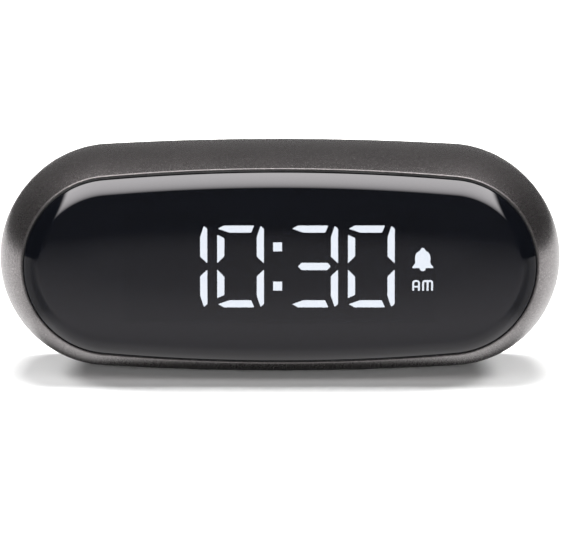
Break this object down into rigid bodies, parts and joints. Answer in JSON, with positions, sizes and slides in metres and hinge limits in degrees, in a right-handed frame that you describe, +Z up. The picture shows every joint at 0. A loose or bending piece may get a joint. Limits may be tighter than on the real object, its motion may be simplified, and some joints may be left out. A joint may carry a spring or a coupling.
{
  "type": "alarm clock",
  "caption": "Compact bedside alarm clock: bowed gunmetal casing, domed smoked window over a white digital display, rear buttons and battery bay.",
  "frame": {"origin": "on the standing surface, under the middle of the overall box", "axes": "+X right as seen from the display side, the display faces -Y, +Z up"},
  "size_m": [0.089, 0.0386, 0.0364],
  "materials": {
    "gunmetal_paint": "fine metallic gunmetal paint on ABS, satin",
    "cover_plastic": "spark-eroded fine texture, dark grey",
    "pad_rubber": "matt black rubber",
    "smoked_acrylic": "polished smoked acrylic",
    "foam_tape": "black foam tape",
    "black_plastic": "moulded black plastic",
    "polariser_film": "dark polarising film",
    "display_glass": "thin display glass",
    "guide_acrylic": "clear acrylic light guide",
    "reflector_film": "white reflector film",
    "zebra_rubber": "striped conductive rubber",
    "lit_white": "white light, as the lamps and the lit segments show it",
    "board_green": "green solder resist on glass-fibre board",
    "screw_steel": "zinc-plated steel",
    "can_aluminium": "bare can",
    "piezo_brass": "thin brass disc",
    "cell_sleeve": "plain dark sleeve on a metal can",
    "contact_nickel": "nickel-plated spring steel",
    "button_plastic": "satin dark grey plastic",
    "plunger_plastic": "red switch plunger",
    "pad_copper": "copper foil",
    "lead_white": "white insulation",
    "lead_red": "red insulation",
    "lead_black": "black insulation"
  },
  "bodies": {
    "clock": {"alarm_set_switch_case": "black_plastic", "alarm_switch_case": "can_aluminium", "backlight_led_left": "lit_white", "backlight_led_right": "lit_white", "base_pad": "pad_rubber", "bridge_contact": "contact_nickel", "bridge_spring": "contact_nickel", "buzzer_case": "black_plastic", "cell_lower": "cell_sleeve", "cell_upper": "cell_sleeve", "controller_chip": "black_plastic", "cover_screw_left": "screw_steel", "cover_screw_right": "screw_steel", "display_frame": "black_plastic", "down_switch_case": "black_plastic", "frame_screw_1": "screw_steel", "frame_screw_2": "screw_steel", "frame_screw_3": "screw_steel", "frame_screw_4": "screw_steel", "front_glass": "display_glass", "front_lens": "smoked_acrylic", "front_polariser": "polariser_film", "housing": "gunmetal_paint", "key_board": "board_green", "key_board_screw_1": "screw_steel", "key_board_screw_2": "screw_steel", "key_ribbon": "lead_white", "lens_tape": "foam_tape", "light_guide": "guide_acrylic", "main_board": "board_green", "negative_contact": "contact_nickel", "negative_lead": "lead_black", "negative_spring": "contact_nickel", "piezo_disc": "piezo_brass", "positive_contact": "contact_nickel", "positive_lead": "lead_red", "rear_cover": "cover_plastic", "rear_glass": "display_glass", "rear_polariser": "polariser_film", "reflector": "reflector_film", "reservoir_capacitor": "can_aluminium", "time_set_switch_case": "black_plastic", "timing_crystal": "can_aluminium", "touch_lead": "lead_white", "touch_pad": "pad_copper", "up_switch_case": "black_plastic", "zebra_strip": "zebra_rubber"},
    "time_set_button": {"time_set_button": "button_plastic", "time_set_plunger": "plunger_plastic"},
    "alarm_set_button": {"alarm_set_button": "button_plastic", "alarm_set_plunger": "plunger_plastic"},
    "up_button": {"up_button": "button_plastic", "up_plunger": "plunger_plastic"},
    "down_button": {"down_button": "button_plastic", "down_plunger": "plunger_plastic"},
    "alarm_switch": {"alarm_switch_lever": "button_plastic"},
    "battery_door": {"battery_door": "cover_plastic"}
  },
  "joints": [
    {"name": "time_set_press", "type": "slide", "parent": "clock", "child": "time_set_button", "axis": [0, -1, 0], "range_m": [0, 0.0005], "stiffness_N_per_m": 400},
    {"name": "alarm_set_press", "type": "slide", "parent": "clock", "child": "alarm_set_button", "axis": [0, -1, 0], "range_m": [0, 0.0005], "stiffness_N_per_m": 400},
    {"name": "up_press", "type": "slide", "parent": "clock", "child": "up_button", "axis": [0, -1, 0], "range_m": [0, 0.0005], "stiffness_N_per_m": 400},
    {"name": "down_press", "type": "slide", "parent": "clock", "child": "down_button", "axis": [0, -1, 0], "range_m": [0, 0.0005], "stiffness_N_per_m": 400},
    {"name": "alarm_switch_slide", "type": "slide", "parent": "clock", "child": "alarm_switch", "axis": [1, 0, 0], "range_m": [0, 0.002]},
    {"name": "battery_door_release", "type": "slide", "parent": "clock", "child": "battery_door", "axis": [0, 1, 0], "range_m": [0, 0.012]}
  ]
}
